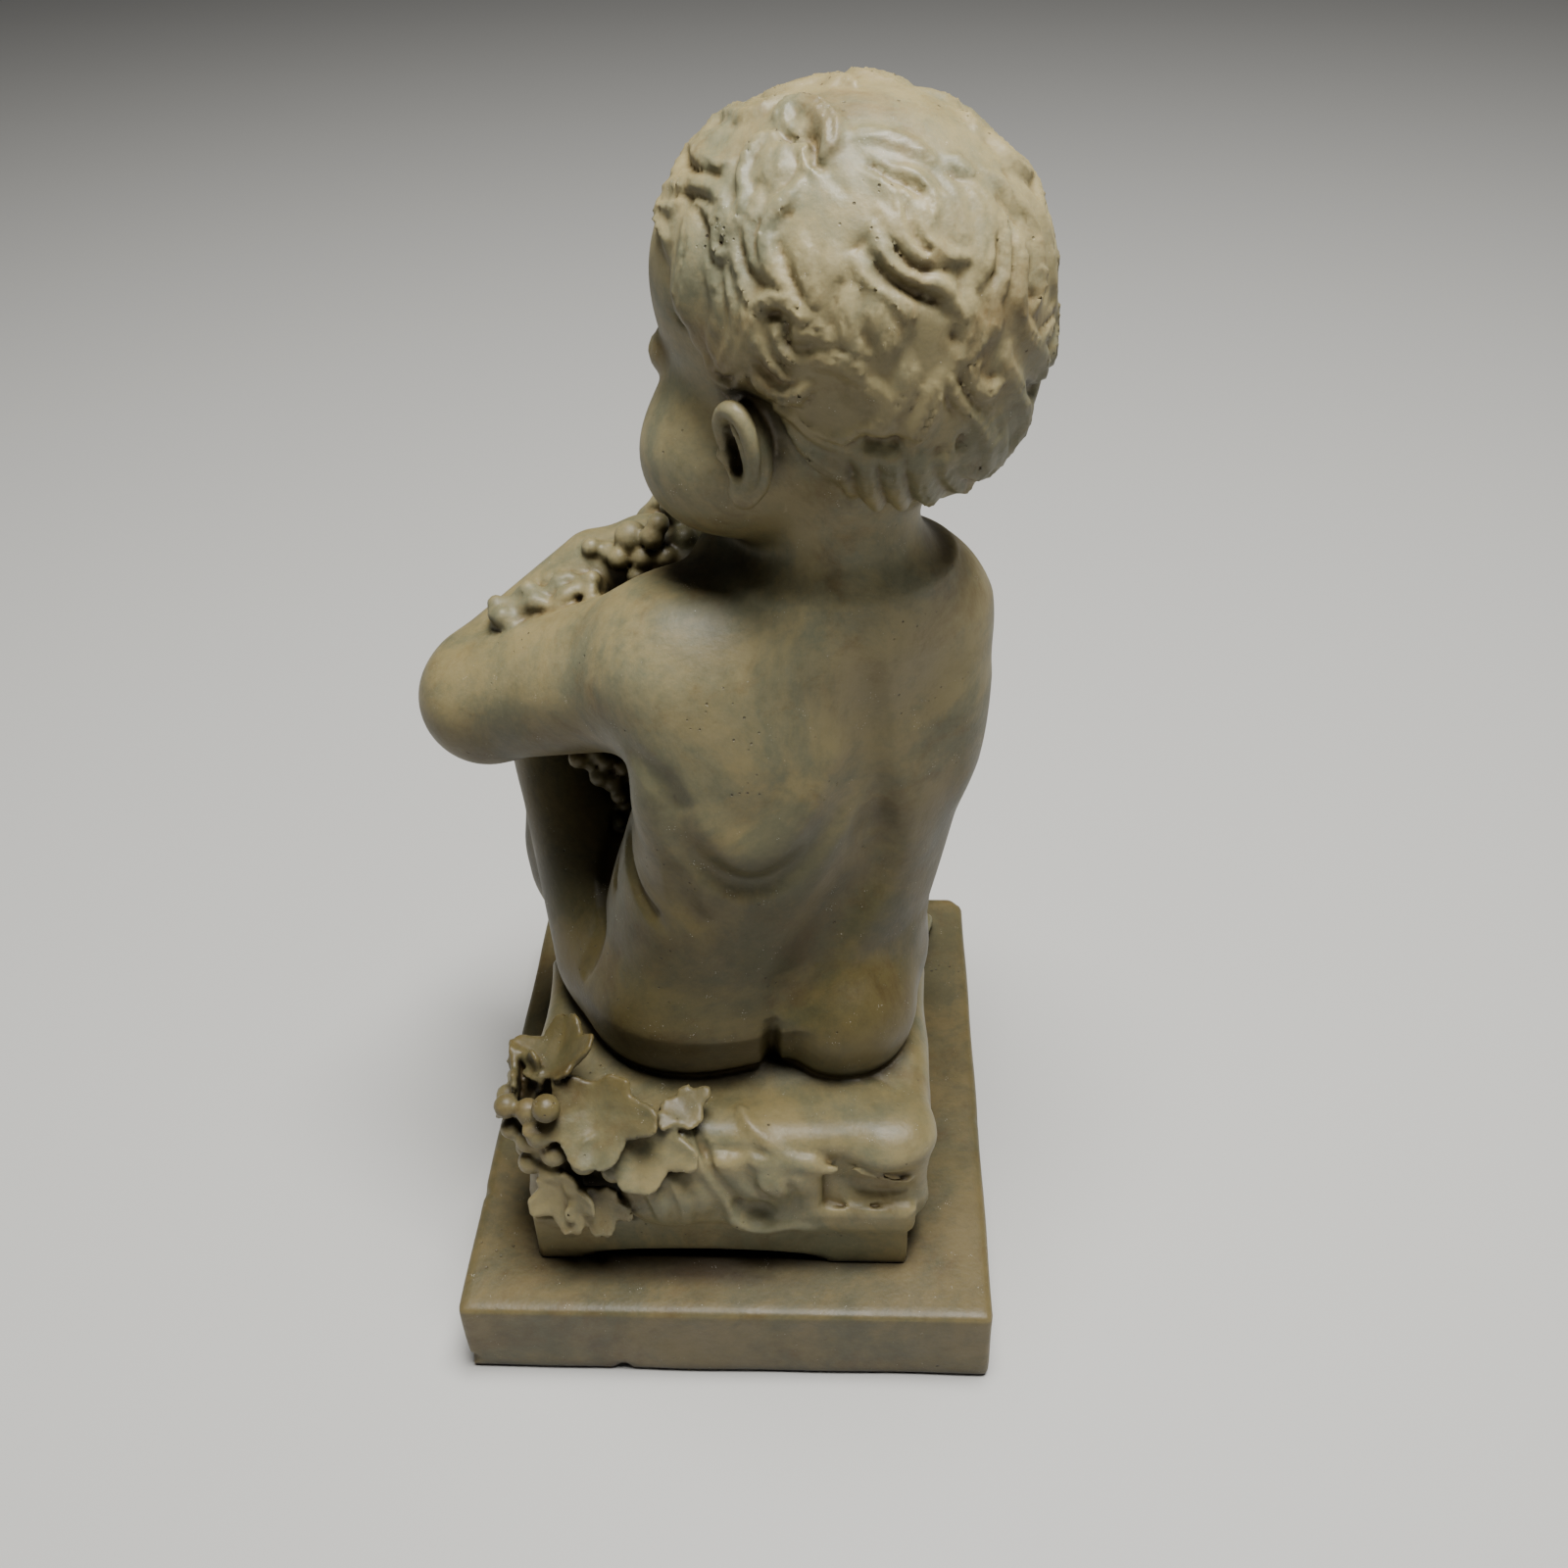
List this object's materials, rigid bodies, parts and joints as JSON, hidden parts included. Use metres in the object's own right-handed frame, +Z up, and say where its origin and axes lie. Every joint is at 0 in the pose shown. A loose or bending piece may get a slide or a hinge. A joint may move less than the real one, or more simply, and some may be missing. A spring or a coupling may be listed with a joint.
{
  "type": "cherub statue",
  "caption": "Seated wingless cherub with a bunch of grapes, cast with its rock seat and vine leaves, standing on a separate slab plinth.",
  "frame": {"origin": "centre of the plinth's underside", "axes": "+Z up, -Y the way the cherub's knees point, +X the cherub's left"},
  "size_m": [0.1067, 0.1156, 0.2205],
  "materials": {
    "cast_marble": "satin",
    "plinth_marble": "satin"
  },
  "bodies": {
    "root": {"cherub": "cast_marble", "plinth": "plinth_marble"}
  },
  "joints": []
}
